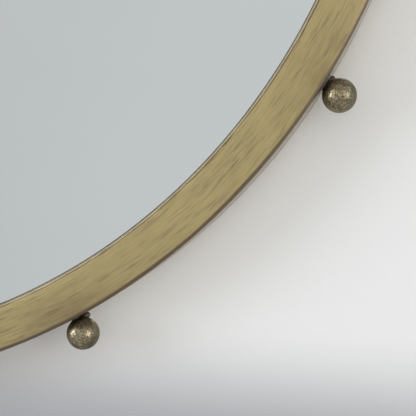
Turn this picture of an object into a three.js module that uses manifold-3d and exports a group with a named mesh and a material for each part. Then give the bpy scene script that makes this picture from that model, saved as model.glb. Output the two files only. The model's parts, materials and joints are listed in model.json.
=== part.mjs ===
// Round wall mirror: a rolled brass tube ring set with balls, flat mirror glass on a backing board,
// and two D-loop hangers.
//
// Millimetres. +Z is up, the mirror faces -Y and the wall is the plane y = 0.
// The origin is the centre of the ring, on the wall. Everything round is turned about the Y axis.

import * as THREE from "three";
import { mergeVertices } from "three/addons/utils/BufferGeometryUtils.js";
import Module from "manifold-3d";

const wasm = await Module();
wasm.setup();

// ---------- driving dimensions ----------

const overallDiameter = 914.4; // over the balls
const seatGap = 0.3; // between a piece and what it sits on

const tubeFace = 30; // width of the ring seen from the front
const tubeDepth = 40;
const tubeWall = 1.5;
const tubeCornerRadius = 3;
const insideCornerLeast = 0.4; // radius that the inside of a tube's corner keeps

const ballDiameter = 22.2;
const ballCount = 12;
const ballSetback = 14.5; // centre of a ball behind the front face
const spigotDiameter = 6;
const spigotReach = 2.5; // past the inside of the tube's wall
const spigotClearance = 0.3;
const beadLength = 13.4; // along the ring
const beadHeight = 4.8; // away from the ring
const beadDepth = 8; // towards the wall
const beadFlatShare = 0.25; // of the bead's full oval that the ring cuts off
const beadSetback = 5; // centre of the bead behind the ball's centre
const beadShift = 2.6; // centre of the bead along the ring from the ball's centre, anticlockwise

const glassThickness = 4;
const glassRecess = 3.5; // from the front face to the glass
const glassEdgeGap = 0.8; // round the glass, inside the ring
const glassChamfer = 0.5;

const padDiameter = 70;
const padThickness = 1.5;
const outerPadCount = 6;
const outerPadInset = 155; // from the ring's inner wall to the centre of an outer pad

const boardThickness = 9;
const boardEdgeGap = 1;

const tabCount = 8;
const tabThickness = 2;
const tabWidth = 22;
const tabFoot = 26; // along the board
const tabLeg = 14; // along the ring's inner wall
const tabBendRadius = 1.5; // inside the bend
const tabCornerRadius = 4; // at the free end of the foot
const tabScrewInset = 17; // from the ring's inner wall to the screw

const screwShankDiameter = 3.5;
const screwHeadDiameter = 7.6;
const screwHeadHeight = 2.4;
const screwRimShare = 0.55; // of the head's height that is a straight rim
const screwCrownWidthShare = 0.72; // of the head's width where its crown flattens
const screwCrownHeightShare = 0.92; // of the head's height there
const screwPointLength = 2.5;
const screwGrip = 7; // how deep a screw goes into the board
const screwClearance = 0.3; // round a shank

const hangerSpread = 440; // between the two hangers
const hangerHeight = 230; // eye above the centre of the ring
const strapThickness = 1.2;
const strapWidth = 14;
const strapLength = 58; // below the eye's centre
const strapScrewSpacing = 16; // between the two screws of a strap
const strapScrewInset = 10; // from the strap's lower end to its lower screw
const eyeClearance = 0.5; // round the wire
const eyeWrap = 300; // degrees that the strap is rolled round the wire
const loopWireDiameter = 2.6;
const loopInsideWidth = 22;
const loopDrop = 18; // from the eye's centre to the bottom of the wire's centreline
const loopCornerRadius = 3;
const loopButtGap = 0.3; // between the ends of the bent wire

const bumperDiameter = 12;
const bumperThickness = 2;
const bumperCount = 4;
const bumperChamfer = 0.4;

// ---------- how finely round things are drawn ----------

const ringSteps = 96;
const tubeCornerSteps = 2;
const bendSteps = 3;
const tabCornerSteps = 2;
const ballSides = 16;
const ballRings = 8;
const beadSides = 8;
const beadRings = 6;
const holeSides = 8;
const screwSides = 10;
const padSides = 20;
const bumperSides = 16;
const wireSides = 8;
const wireSteps = 34;
const eyeSteps = 7;
const loopArcSteps = 6;
const weldDistance = 1e-4; // vertices closer than this are one
const cutPast = 3; // how far a cutter runs past the faces that it cuts

// ---------- sizes worked out from them ----------

const tubeOuterRadius = overallDiameter / 2 - ballDiameter - seatGap;
const tubeInnerRadius = tubeOuterRadius - tubeFace;
const tubeBackY = -(bumperThickness + seatGap);
const tubeFrontY = tubeBackY - tubeDepth;

const ballRadius = ballDiameter / 2;
const ballCircleRadius = tubeOuterRadius + seatGap + ballRadius;
const ballY = tubeFrontY + ballSetback;

const glassFrontY = tubeFrontY + glassRecess;
const glassBackY = glassFrontY + glassThickness;
const padFrontY = glassBackY + seatGap;
const padBackY = padFrontY + padThickness;
const outerPadRadius = tubeInnerRadius - outerPadInset;
const boardFrontY = padBackY + seatGap;
const boardBackY = boardFrontY + boardThickness;

const tabFrontY = boardBackY + seatGap;
// The ring's inner wall is drawn in flat steps, and a tab's flat leg meets it at its two edges.
const innerWallFlat = tubeInnerRadius * Math.cos(Math.PI / ringSteps);
const tabOuterRadius = Math.sqrt(innerWallFlat ** 2 - (tabWidth / 2) ** 2) - seatGap;
const tabScrewRadius = tubeInnerRadius - tabScrewInset;

const strapFrontY = boardBackY + seatGap;
const lowerScrewDrop = strapLength - strapScrewInset; // below the eye's centre
const strapScrewDrops = [lowerScrewDrop - strapScrewSpacing, lowerScrewDrop];
const loopWireRadius = loopWireDiameter / 2;
const eyeInnerRadius = loopWireRadius + eyeClearance;
const eyeOuterRadius = eyeInnerRadius + strapThickness;

const fullTurn = 2 * Math.PI;

// ---------- materials ----------

const material = (color, roughness, metalness) =>
  new THREE.MeshStandardMaterial({ color, roughness, metalness });

const brushedBrass = () => material(0xa09169, 0.42, 1);
const darkBrass = () => material(0x6e644b, 0.48, 1);
const mirrorSilver = () => material(0xbfc3c5, 0.03, 1);
const mastic = () => material(0xb9b3a4, 0.8, 0);
const fibreboard = () => material(0x8a6a48, 0.85, 0);
const zincSteel = () => material(0xa9adb0, 0.35, 1);
const softRubber = () => material(0x4a4a48, 0.9, 0);

// ---------- small tools ----------

// A closed geometry as a solid that can be joined and cut.
function solidOf(geometry) {
  const bare = geometry.index ? geometry.toNonIndexed() : geometry.clone();
  bare.deleteAttribute("normal");
  bare.deleteAttribute("uv");
  const merged = mergeVertices(bare, weldDistance);
  return new wasm.Manifold(
    new wasm.Mesh({
      numProp: 3,
      vertProperties: merged.attributes.position.array,
      triVerts: new Uint32Array(merged.index.array),
    }),
  );
}

// The solid back as a flat-shaded geometry.
function geometryOf(solid) {
  const mesh = solid.getMesh();
  const geometry = new THREE.BufferGeometry();
  geometry.setAttribute(
    "position",
    new THREE.BufferAttribute(new Float32Array(mesh.vertProperties), 3),
  );
  geometry.setIndex(new THREE.BufferAttribute(new Uint32Array(mesh.triVerts), 1));
  const flat = geometry.toNonIndexed();
  flat.computeVertexNormals();
  return flat;
}

// A disc or a stepped shaft about the Y axis, from [radius, y] points that start and end on the axis.
function turned(points, sides) {
  return new THREE.LatheGeometry(
    points.map(([radius, y]) => new THREE.Vector2(radius, y)),
    sides,
  );
}

// A round rod or hole cutter about the Y axis.
function rod(radius, fromY, toY, sides) {
  return turned(
    [
      [0, fromY],
      [radius, fromY],
      [radius, toY],
      [0, toY],
    ],
    sides,
  );
}

// The same rod laid along the X axis, from one x to the other.
function rodAlongX(radius, fromX, toX, sides) {
  return rod(radius, -toX, -fromX, sides).rotateZ(Math.PI / 2);
}

// A rounded rectangle in the section plane, as points that close on themselves, anticlockwise.
function roundedSection(innerRadius, outerRadius, frontY, backY, corner, steps) {
  const corners = [
    [outerRadius - corner, frontY + corner, -Math.PI / 2],
    [outerRadius - corner, backY - corner, 0],
    [innerRadius + corner, backY - corner, Math.PI / 2],
    [innerRadius + corner, frontY + corner, Math.PI],
  ];
  const points = [];
  for (const [x, y, start] of corners) {
    for (let i = 0; i <= steps; i++) {
      const angle = start + (Math.PI / 2) * (i / steps);
      points.push(
        new THREE.Vector2(x + corner * Math.cos(angle), y + corner * Math.sin(angle)),
      );
    }
  }
  points.push(points[0].clone());
  return points;
}

function mesh(name, geometry, finish) {
  const piece = new THREE.Mesh(geometry, finish);
  piece.name = name;
  return piece;
}

// A group turned about the ring's axis so that its own +X points away from the centre at this angle.
// Angles run from +X towards +Z, so 90 degrees is the top of the mirror.
function spoke(angle) {
  const group = new THREE.Group();
  group.rotation.y = -angle;
  return group;
}

// The place on a circle round the ring's axis.
const onCircle = (radius, angle, y) =>
  new THREE.Vector3(radius * Math.cos(angle), y, radius * Math.sin(angle));

// Evenly spread angles, the first one turned by an offset.
const spread = (count, offset = 0) =>
  Array.from({ length: count }, (_, i) => offset + (fullTurn * i) / count);

const twoDigits = (number) => String(number).padStart(2, "0");

const ballAngles = spread(ballCount);
const tabAngles = spread(tabCount, Math.PI / tabCount);
const bumperAngles = spread(bumperCount, Math.PI / bumperCount);
const padAngles = spread(outerPadCount, Math.PI / outerPadCount);
const hangerSides = [
  ["left", -hangerSpread / 2],
  ["right", hangerSpread / 2],
];

// ---------- ring ----------

// A hollow rolled tube with one hole through its outer wall for each ball's spigot.
function makeRing() {
  const outside = new THREE.LatheGeometry(
    roundedSection(
      tubeInnerRadius,
      tubeOuterRadius,
      tubeFrontY,
      tubeBackY,
      tubeCornerRadius,
      tubeCornerSteps,
    ),
    ringSteps,
  );
  const inside = new THREE.LatheGeometry(
    roundedSection(
      tubeInnerRadius + tubeWall,
      tubeOuterRadius - tubeWall,
      tubeFrontY + tubeWall,
      tubeBackY - tubeWall,
      Math.max(tubeCornerRadius - tubeWall, insideCornerLeast),
      1,
    ),
    ringSteps,
  );
  let ring = solidOf(outside).subtract(solidOf(inside));
  const holeRadius = spigotDiameter / 2 + spigotClearance;
  for (const angle of ballAngles) {
    const hole = rodAlongX(
      holeRadius,
      tubeOuterRadius - tubeWall - cutPast,
      tubeOuterRadius + cutPast,
      holeSides,
    );
    hole.translate(0, ballY, 0).rotateY(-angle);
    ring = ring.subtract(solidOf(hole));
  }
  return mesh("frame_ring", geometryOf(ring), brushedBrass());
}

// ---------- balls ----------

// One ball about its own centre: +X points away from the ring and +Y towards the wall.
// A turned spigot enters the ring, and a braze bead lies behind and beside the place where the ball
// meets it.
function ballGeometry() {
  const ball = new THREE.SphereGeometry(ballRadius, ballSides, ballRings);
  ball.rotateZ(-Math.PI / 2);
  const seatX = -ballRadius;
  const spigotEnd = seatX - seatGap - tubeWall - spigotReach;
  const spigotRoot = -ballRadius / 2;
  const spigot = rodAlongX(spigotDiameter / 2, spigotEnd, spigotRoot, holeSides);
  const ovalHeight = beadHeight / (1 - beadFlatShare);
  const bead = new THREE.SphereGeometry(1, beadSides, beadRings);
  bead.scale(ovalHeight / 2, beadDepth / 2, beadLength / 2);
  bead.translate(seatX + beadHeight - ovalHeight / 2, beadSetback, beadShift);
  const belowSeat = new THREE.BoxGeometry(ovalHeight, 2 * beadDepth, 2 * beadLength);
  belowSeat.translate(seatX - ovalHeight / 2, beadSetback, 0);
  const solid = solidOf(ball)
    .add(solidOf(bead).subtract(solidOf(belowSeat)))
    .add(solidOf(spigot));
  return geometryOf(solid);
}

function makeBalls() {
  const balls = new THREE.Group();
  const geometry = ballGeometry();
  ballAngles.forEach((angle, i) => {
    const ball = mesh(`ball_${twoDigits(i + 1)}`, geometry, darkBrass());
    ball.position.set(ballCircleRadius, ballY, 0);
    balls.add(spoke(angle).add(ball));
  });
  return balls;
}

// ---------- glass, mastic and board ----------

function makeGlass() {
  const radius = tubeInnerRadius - glassEdgeGap;
  const geometry = turned(
    [
      [0, glassFrontY],
      [radius - glassChamfer, glassFrontY],
      [radius, glassFrontY + glassChamfer],
      [radius, glassBackY - glassChamfer],
      [radius - glassChamfer, glassBackY],
      [0, glassBackY],
    ],
    ringSteps,
  );
  return mesh("mirror_glass", geometry, mirrorSilver());
}

function makePads() {
  const pads = new THREE.Group();
  const geometry = rod(padDiameter / 2, padFrontY, padBackY, padSides);
  const centres = [
    new THREE.Vector3(),
    ...padAngles.map((angle) => onCircle(outerPadRadius, angle, 0)),
  ];
  centres.forEach((centre, i) => {
    const pad = mesh(`bond_pad_${i}`, geometry, mastic());
    pad.position.copy(centre);
    pads.add(pad);
  });
  return pads;
}

// The x and z of every screw that enters the board.
function screwPlaces() {
  const places = tabAngles.map((angle) => onCircle(tabScrewRadius, angle, 0));
  for (const [, x] of hangerSides) {
    for (const drop of strapScrewDrops) {
      places.push(new THREE.Vector3(x, 0, hangerHeight - drop));
    }
  }
  return places;
}

// A fibreboard disc with a blind pilot hole for each screw.
function makeBoard() {
  const radius = tubeInnerRadius - boardEdgeGap;
  let board = solidOf(rod(radius, boardFrontY, boardBackY, ringSteps));
  const pilot = rod(
    screwShankDiameter / 2 + screwClearance,
    boardBackY - screwGrip - screwClearance,
    boardBackY + cutPast,
    holeSides,
  );
  for (const place of screwPlaces()) {
    board = board.subtract(solidOf(pilot.clone().translate(place.x, 0, place.z)));
  }
  return mesh("backing_board", geometryOf(board), fibreboard());
}

// ---------- screws ----------

// A pan-head screw along Y: its point towards the board's face, the underside of its head at y = 0.
function screwGeometry(length) {
  const shank = screwShankDiameter / 2;
  const head = screwHeadDiameter / 2;
  return turned(
    [
      [0, -length],
      [shank, -length + screwPointLength],
      [shank, 0],
      [head, 0],
      [head, screwHeadHeight * screwRimShare],
      [head * screwCrownWidthShare, screwHeadHeight * screwCrownHeightShare],
      [0, screwHeadHeight],
    ],
    screwSides,
  );
}

// How far a screw's shank runs through a plate of this thickness and into the board.
const screwLength = (plate) => seatGap + plate + seatGap + screwGrip;

// ---------- tabs on the ring's inner wall ----------

// A bent tab in its spoke: the leg lies along the ring, the foot behind the board.
function tabGeometry() {
  const outerBend = tabBendRadius + tabThickness;
  const legX = tabOuterRadius;
  const footX = tabOuterRadius - tabFoot;
  const y0 = tabFrontY;
  const outline = new THREE.Shape();
  outline.moveTo(footX, y0);
  outline.lineTo(legX - outerBend, y0);
  outline.absarc(legX - outerBend, y0 + outerBend, outerBend, -Math.PI / 2, 0, false);
  outline.lineTo(legX, y0 + tabLeg);
  outline.lineTo(legX - tabThickness, y0 + tabLeg);
  outline.lineTo(legX - tabThickness, y0 + outerBend);
  outline.absarc(legX - outerBend, y0 + outerBend, tabBendRadius, 0, -Math.PI / 2, true);
  outline.lineTo(footX, y0 + tabThickness);
  const bent = new THREE.ExtrudeGeometry(outline, {
    depth: tabWidth,
    bevelEnabled: false,
    curveSegments: bendSteps,
  });
  bent.translate(0, 0, -tabWidth / 2);
  const corner = Math.min(tabCornerRadius, tabWidth / 2);
  const plan = new THREE.Shape();
  plan.moveTo(legX + cutPast, -tabWidth / 2 - cutPast);
  plan.lineTo(legX + cutPast, tabWidth / 2 + cutPast);
  plan.lineTo(legX - outerBend, tabWidth / 2 + cutPast);
  plan.lineTo(legX - outerBend, tabWidth / 2);
  plan.absarc(footX + corner, tabWidth / 2 - corner, corner, Math.PI / 2, Math.PI, false);
  plan.absarc(footX + corner, corner - tabWidth / 2, corner, Math.PI, 1.5 * Math.PI, false);
  plan.lineTo(legX - outerBend, -tabWidth / 2);
  plan.lineTo(legX - outerBend, -tabWidth / 2 - cutPast);
  const outlineDepth = tabLeg + 2 * cutPast;
  const rounded = new THREE.ExtrudeGeometry(plan, {
    depth: outlineDepth,
    bevelEnabled: false,
    curveSegments: tabCornerSteps,
  });
  rounded.rotateX(Math.PI / 2);
  rounded.translate(0, y0 - cutPast + outlineDepth, 0);
  const hole = rod(
    screwShankDiameter / 2 + screwClearance,
    y0 - cutPast,
    y0 + tabThickness + cutPast,
    holeSides,
  );
  hole.translate(tabScrewRadius, 0, 0);
  return geometryOf(solidOf(bent).intersect(solidOf(rounded)).subtract(solidOf(hole)));
}

function makeTabs() {
  const tabs = new THREE.Group();
  const tab = tabGeometry();
  const screw = screwGeometry(screwLength(tabThickness));
  const headY = tabFrontY + tabThickness + seatGap;
  tabAngles.forEach((angle, i) => {
    const group = spoke(angle);
    const fastener = mesh(`tab_screw_${i + 1}`, screw, zincSteel());
    fastener.position.set(tabScrewRadius, headY, 0);
    group.add(mesh(`backing_tab_${i + 1}`, tab, brushedBrass()), fastener);
    tabs.add(group);
  });
  return tabs;
}

// ---------- hangers ----------

// A strap about its eye's centre: x across, y towards the wall, z up.
// The strip runs up the board and is rolled forward round the wire.
function strapGeometry() {
  const backFaceY = -eyeOuterRadius;
  const outerFaceY = -eyeInnerRadius;
  const endAngle = Math.PI - THREE.MathUtils.degToRad(eyeWrap);
  const side = new THREE.Shape();
  side.moveTo(outerFaceY, -strapLength);
  side.lineTo(backFaceY, -strapLength);
  side.lineTo(backFaceY, 0);
  side.absarc(0, 0, eyeOuterRadius, Math.PI, endAngle, true);
  side.lineTo(eyeInnerRadius * Math.cos(endAngle), eyeInnerRadius * Math.sin(endAngle));
  side.absarc(0, 0, eyeInnerRadius, endAngle, Math.PI, false);
  side.lineTo(outerFaceY, -strapLength);
  const strip = new THREE.ExtrudeGeometry(side, {
    depth: strapWidth,
    bevelEnabled: false,
    curveSegments: eyeSteps,
  });
  strip.translate(0, 0, -strapWidth / 2);
  strip.applyMatrix4(
    new THREE.Matrix4().makeBasis(
      new THREE.Vector3(0, 1, 0),
      new THREE.Vector3(0, 0, 1),
      new THREE.Vector3(1, 0, 0),
    ),
  );
  const endRadius = strapWidth / 2;
  const reach = eyeOuterRadius + cutPast;
  const front = new THREE.Shape();
  front.moveTo(-endRadius, reach);
  front.lineTo(-endRadius, endRadius - strapLength);
  front.absarc(0, endRadius - strapLength, endRadius, Math.PI, fullTurn, false);
  front.lineTo(endRadius, reach);
  const outline = new THREE.ExtrudeGeometry(front, {
    depth: 2 * reach,
    bevelEnabled: false,
    curveSegments: eyeSteps,
  });
  outline.rotateX(Math.PI / 2);
  outline.translate(0, reach, 0);
  let strap = solidOf(strip).intersect(solidOf(outline));
  for (const drop of strapScrewDrops) {
    const hole = rod(
      screwShankDiameter / 2 + screwClearance,
      backFaceY - cutPast,
      outerFaceY + cutPast,
      holeSides,
    );
    hole.translate(0, 0, -drop);
    strap = strap.subtract(solidOf(hole));
  }
  return geometryOf(strap);
}

// A wire bent into a D about the eye's centre, hanging down, with its butt joint hidden in the eye:
// a straight bar, two tight corners, short legs and a half-round bow.
function loopGeometry() {
  const halfWidth = loopInsideWidth / 2 + loopWireRadius;
  const start = loopButtGap / 2;
  const corner = loopCornerRadius;
  const legEnd = Math.max(loopDrop - halfWidth, corner);
  const points = [
    new THREE.Vector3(start, 0, 0),
    new THREE.Vector3((start + halfWidth - corner) / 2, 0, 0),
  ];
  for (let i = 0; i <= bendSteps; i++) {
    const angle = (Math.PI / 2) * (1 - i / bendSteps);
    points.push(
      new THREE.Vector3(
        halfWidth - corner + corner * Math.cos(angle),
        0,
        -corner + corner * Math.sin(angle),
      ),
    );
  }
  points.push(new THREE.Vector3(halfWidth, 0, -(corner + legEnd) / 2));
  for (let i = 0; i <= loopArcSteps; i++) {
    const angle = (Math.PI / 2) * (i / loopArcSteps);
    points.push(
      new THREE.Vector3(
        halfWidth * Math.cos(angle),
        0,
        -legEnd - (loopDrop - legEnd) * Math.sin(angle),
      ),
    );
  }
  const otherHalf = points
    .slice(0, -1)
    .reverse()
    .map((point) => new THREE.Vector3(-point.x, 0, point.z));
  const path = new THREE.CatmullRomCurve3([...points, ...otherHalf]);
  const section = new THREE.Shape();
  section.absarc(0, 0, loopWireRadius, 0, fullTurn, false);
  return new THREE.ExtrudeGeometry(section, {
    steps: wireSteps,
    extrudePath: path,
    curveSegments: wireSides / 2,
  });
}

function makeHangers() {
  const hangers = new THREE.Group();
  const strap = strapGeometry();
  const loop = loopGeometry();
  const screw = screwGeometry(screwLength(strapThickness));
  for (const [side, x] of hangerSides) {
    const hanger = new THREE.Group();
    hanger.position.set(x, strapFrontY + eyeOuterRadius, hangerHeight);
    hanger.add(mesh(`hanger_strap_${side}`, strap, zincSteel()));
    hanger.add(mesh(`hanger_loop_${side}`, loop, zincSteel()));
    strapScrewDrops.forEach((drop, i) => {
      const fastener = mesh(`hanger_screw_${side}_${i + 1}`, screw, zincSteel());
      fastener.position.set(0, seatGap - eyeInnerRadius, -drop);
      hanger.add(fastener);
    });
    hangers.add(hanger);
  }
  return hangers;
}

// ---------- bumpers ----------

function makeBumpers() {
  const bumpers = new THREE.Group();
  const radius = bumperDiameter / 2;
  const geometry = turned(
    [
      [0, -bumperThickness],
      [radius, -bumperThickness],
      [radius, -bumperChamfer],
      [radius - bumperChamfer, 0],
      [0, 0],
    ],
    bumperSides,
  );
  const middle = (tubeOuterRadius + tubeInnerRadius) / 2;
  bumperAngles.forEach((angle, i) => {
    const bumper = mesh(`wall_bumper_${i + 1}`, geometry, softRubber());
    bumper.position.copy(onCircle(middle, angle, 0));
    bumpers.add(bumper);
  });
  return bumpers;
}

// ---------- the mirror ----------

const mirror = new THREE.Group();
mirror.add(
  makeRing(),
  makeBalls(),
  makeGlass(),
  makePads(),
  makeBoard(),
  makeTabs(),
  makeHangers(),
  makeBumpers(),
);

export default mirror;
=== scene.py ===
"""Round wall mirror in a brushed brass tube ring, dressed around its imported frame.

Metres, +Z up. The mirror faces -Y and the wall is the plane y = 0. A size that the frame
holds is read from it, and every other size is a named field of the class that uses it.
"""

import json
import logging
import math
from collections.abc import Callable, Sequence
from dataclasses import dataclass, field
from enum import Enum
from functools import reduce

import bmesh
import bpy
from mathutils import Matrix, Vector


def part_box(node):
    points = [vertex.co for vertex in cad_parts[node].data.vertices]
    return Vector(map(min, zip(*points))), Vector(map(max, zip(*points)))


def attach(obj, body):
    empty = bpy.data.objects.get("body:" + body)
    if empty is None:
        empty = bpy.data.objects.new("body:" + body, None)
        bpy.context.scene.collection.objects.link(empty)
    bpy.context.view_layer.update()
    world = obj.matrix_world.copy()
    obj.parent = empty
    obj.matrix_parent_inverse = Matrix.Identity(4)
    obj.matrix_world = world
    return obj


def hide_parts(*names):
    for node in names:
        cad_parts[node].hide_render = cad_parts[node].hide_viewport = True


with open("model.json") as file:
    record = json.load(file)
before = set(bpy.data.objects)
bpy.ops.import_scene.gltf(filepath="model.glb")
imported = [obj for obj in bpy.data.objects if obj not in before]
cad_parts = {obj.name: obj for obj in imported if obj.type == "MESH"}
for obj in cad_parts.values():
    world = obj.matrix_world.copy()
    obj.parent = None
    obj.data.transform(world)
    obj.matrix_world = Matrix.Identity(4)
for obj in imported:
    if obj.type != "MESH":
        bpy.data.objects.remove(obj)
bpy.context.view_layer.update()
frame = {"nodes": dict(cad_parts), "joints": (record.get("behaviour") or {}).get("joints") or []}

log = logging.getLogger("round_mirror")

MM = 0.001
FULL_TURN = 2 * math.pi
QUARTER_TURN = math.pi / 2
WELD_DISTANCE = 0.000002
SMOOTH_ANGLE = math.radians(32)
BEVEL_ANGLE = math.radians(40)
HAIR = 0.01 * MM
DRILL_REACH = 4 * MM

Solid = bpy.types.Object
Socket = bpy.types.NodeSocket
Colour = tuple[float, float, float, float]
Pair = tuple[float, float]
Test = Callable[[Vector], bool]


class Body(Enum):
    """The CAD bodies that pieces ride on."""

    MIRROR = "mirror"
    LOOP_LEFT = "loop_left"
    LOOP_RIGHT = "loop_right"


class Slot(Enum):
    """The record's material slots."""

    BRUSHED_BRASS = "brushed_brass"
    DARK_BRASS = "dark_brass"
    TAB_BRASS = "tab_brass"
    GLASS = "mirror_glass"
    MASTIC = "mastic"
    BOARD = "fibreboard"
    STEEL = "zinc_steel"
    RUBBER = "bumper_rubber"


class Element(Enum):
    """What an edit-mode selection is made of."""

    POINT = "VERT"
    EDGE = "EDGE"
    FACE = "FACE"


# ---------- modelling tools ----------

PLANE = bpy.ops.mesh.primitive_plane_add
CUBE = bpy.ops.mesh.primitive_cube_add
CIRCLE = bpy.ops.mesh.primitive_circle_add
CYLINDER = bpy.ops.mesh.primitive_cylinder_add
SPHERE = bpy.ops.mesh.primitive_ico_sphere_add


def activate(piece: Solid) -> None:
    """Makes one object the only selected and active one."""
    bpy.ops.object.select_all(action="DESELECT")
    piece.select_set(True)
    bpy.context.view_layer.objects.active = piece


def begin(name: str, add: Callable, scale: Sequence[float] = (1, 1, 1), **settings: object) -> Solid:
    """Adds a primitive and applies its size and place to its mesh.

    Args:
        name: The name of the new object and its mesh.
        add: The operator that adds the primitive.
        scale: How far it is stretched along its own axes.
        **settings: The operator's settings.

    Returns:
        The object.
    """
    add(**settings)
    piece = bpy.context.object
    piece.name = name
    piece.data.name = name
    piece.scale = scale
    activate(piece)
    bpy.ops.object.transform_apply(location=True, rotation=True, scale=True)
    return piece


class Editing:
    """Edit mode on one piece, with nothing selected at the start."""

    def __init__(self, piece: Solid) -> None:
        """Keeps the piece that is edited."""
        self.piece = piece

    def __enter__(self) -> "Editing":
        """Enters edit mode, where points are selected."""
        activate(self.piece)
        bpy.ops.object.mode_set(mode="EDIT")
        bpy.ops.mesh.select_mode(type=Element.POINT.value)
        self.all(False)
        return self

    def __exit__(self, *_: object) -> None:
        """Goes back to object mode."""
        bpy.ops.object.mode_set(mode="OBJECT")

    def all(self, chosen: bool = True) -> None:
        """Selects everything or nothing."""
        bpy.ops.mesh.select_all(action="SELECT" if chosen else "DESELECT")

    def pick(self, element: Element, test: Test) -> None:
        """Selects the points, edges or faces whose middle passes a test, and nothing else.

        Args:
            element: What is selected.
            test: Takes the middle of an element and says whether it is selected.
        """
        bpy.ops.mesh.select_mode(type=element.value)
        self.all(False)
        sheet = bmesh.from_edit_mesh(self.piece.data)
        parts = {Element.POINT: sheet.verts, Element.EDGE: sheet.edges, Element.FACE: sheet.faces}
        for part in parts[element]:
            corners = [part.co] if element is Element.POINT else [v.co for v in part.verts]
            if test(sum(corners, Vector()) / len(corners)):
                part.select_set(True)
        sheet.select_flush_mode()
        bmesh.update_edit_mesh(self.piece.data)

    def extrude(self, move: Sequence[float]) -> None:
        """Extrudes what is selected and moves it."""
        bpy.ops.mesh.extrude_region_move(TRANSFORM_OT_translate={"value": tuple(move)})

    def spin(self, steps: int, angle: float, centre: Sequence[float], axis: Sequence[float]) -> None:
        """Spins what is selected about an axis by the right-hand rule."""
        bpy.ops.mesh.spin(steps=steps, angle=-angle, center=tuple(centre), axis=tuple(axis))

    def round_off(self, offset: float, segments: int, affect: str = "VERTICES") -> None:
        """Rounds the selected corners or, with EDGES, the selected edges."""
        bpy.ops.mesh.bevel(offset=offset, segments=segments, profile=0.5, affect=affect)

    def close_up(self) -> None:
        """Merges doubles and turns every face outwards."""
        self.all()
        bpy.ops.mesh.remove_doubles(threshold=WELD_DISTANCE)
        bpy.ops.mesh.normals_make_consistent(inside=False)


def with_modifier(piece: Solid, kind: str, **settings: object) -> None:
    """Adds a modifier of a kind with its settings to a piece and applies it."""
    activate(piece)
    modifier = piece.modifiers.new(kind.title(), kind)
    for key, value in settings.items():
        setattr(modifier, key, value)
    bpy.ops.object.modifier_apply(modifier=modifier.name)


def join(pieces: Sequence[Solid], name: str) -> Solid:
    """Joins objects into the first one, which takes the name, and returns it."""
    first = pieces[0]
    activate(first)
    for piece in pieces:
        piece.select_set(True)
    bpy.ops.object.join()
    first.name = name
    first.data.name = name
    return first


def combine(piece: Solid, other: Solid, operation: str) -> None:
    """Cuts or unites a piece with another object, which is then removed."""
    with_modifier(piece, "BOOLEAN", object=other, operation=operation, solver="EXACT")
    bpy.data.objects.remove(other)


def thicken(sheet: Solid, thickness: float) -> None:
    """Gives a sheet its thickness behind its faces."""
    with_modifier(sheet, "SOLIDIFY", thickness=thickness, offset=-1.0, use_even_offset=True)


def bevel_edges(piece: Solid, width: float, segments: int = 2) -> None:
    """Rounds the sharp edges of a finished solid."""
    limits = {"limit_method": "ANGLE", "angle_limit": BEVEL_ANGLE, "harden_normals": False}
    with_modifier(piece, "BEVEL", width=width, segments=segments, **limits)


def uneven(piece: Solid, depth: float, size: float) -> None:
    """Sinks a surface by a soft random depth, never outwards.

    Args:
        piece: The piece that is changed.
        depth: The deepest place.
        size: How far apart the hollows lie.
    """
    clouds = bpy.data.textures.new("unevenness", "CLOUDS")
    clouds.noise_scale = size
    with_modifier(
        piece, "DISPLACE", texture=clouds, texture_coords="LOCAL", strength=depth, mid_level=1.0
    )
    bpy.data.textures.remove(clouds)


def rod(name: str, radius: float, start: Vector, end: Vector, sides: int = 32) -> Solid:
    """A round bar of a radius between the middles of its two ends."""
    along = end - start
    return begin(
        name, CYLINDER, vertices=sides, radius=radius, depth=along.length,
        location=(start + end) / 2, rotation=along.to_track_quat("Z", "Y").to_euler(),
    )


def drill_through(strip: Solid, radius: float, start: Vector) -> None:
    """Drills a strip along +Y from a point in front of it."""
    combine(strip, rod("drill", radius, start, start + Vector((0, DRILL_REACH, 0)), 24), "DIFFERENCE")


def turned(name: str, outline: Sequence[Pair], steps: int) -> Solid:
    """A shape turned about the Y axis.

    Args:
        name: Its name.
        outline: Points of radius and y that start and end on the axis.
        steps: How many steps a whole turn takes.

    Returns:
        The turned solid.
    """
    piece = begin(name, PLANE, size=MM)
    with Editing(piece) as edit:
        edit.all()
        bpy.ops.mesh.merge(type="CENTER")
        corners = [Vector((radius, y, 0)) for radius, y in outline]
        bpy.ops.transform.translate(value=corners[0])
        for last, corner in zip(corners, corners[1:]):
            edit.extrude(corner - last)
        edit.all()
        edit.spin(steps, FULL_TURN, (0, 0, 0), (0, 1, 0))
        edit.close_up()
    return piece


def copies(piece: Solid, names: Sequence[str], moves: Sequence[Matrix]) -> list[Solid]:
    """Copies of a piece, each with a mesh of its own, in place of the piece.

    Args:
        piece: The modelled piece, which becomes the first copy.
        names: The copies' names.
        moves: Where each copy goes.

    Returns:
        The copies in order.
    """
    made = [piece]
    for name in names[1:]:
        twin = piece.copy()
        twin.data = piece.data.copy()
        twin.name = name
        twin.data.name = name
        bpy.context.scene.collection.objects.link(twin)
        made.append(twin)
    for copy, move in zip(made, moves):
        copy.data.transform(move)
    return made


def face_outwards(sheet: Solid, lead: Vector) -> None:
    """Turns an open sheet's faces so that those nearest a point outside it look towards it."""
    nearest = min(sheet.data.polygons, key=lambda face: (face.center - lead).length)
    if nearest.normal.dot(lead - nearest.center) < 0:
        sheet.data.flip_normals()


def spoke(angle: float) -> Matrix:
    """The turn about the Y axis that takes +X to a place on the ring, counted towards +Z."""
    return Matrix.Rotation(-angle, 4, "Y")


def spokes(count: int, start: float = 0.0) -> list[Matrix]:
    """Evenly spread turns round the ring, counted from +X towards +Z."""
    return [spoke(start + FULL_TURN * i / count) for i in range(count)]


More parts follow.
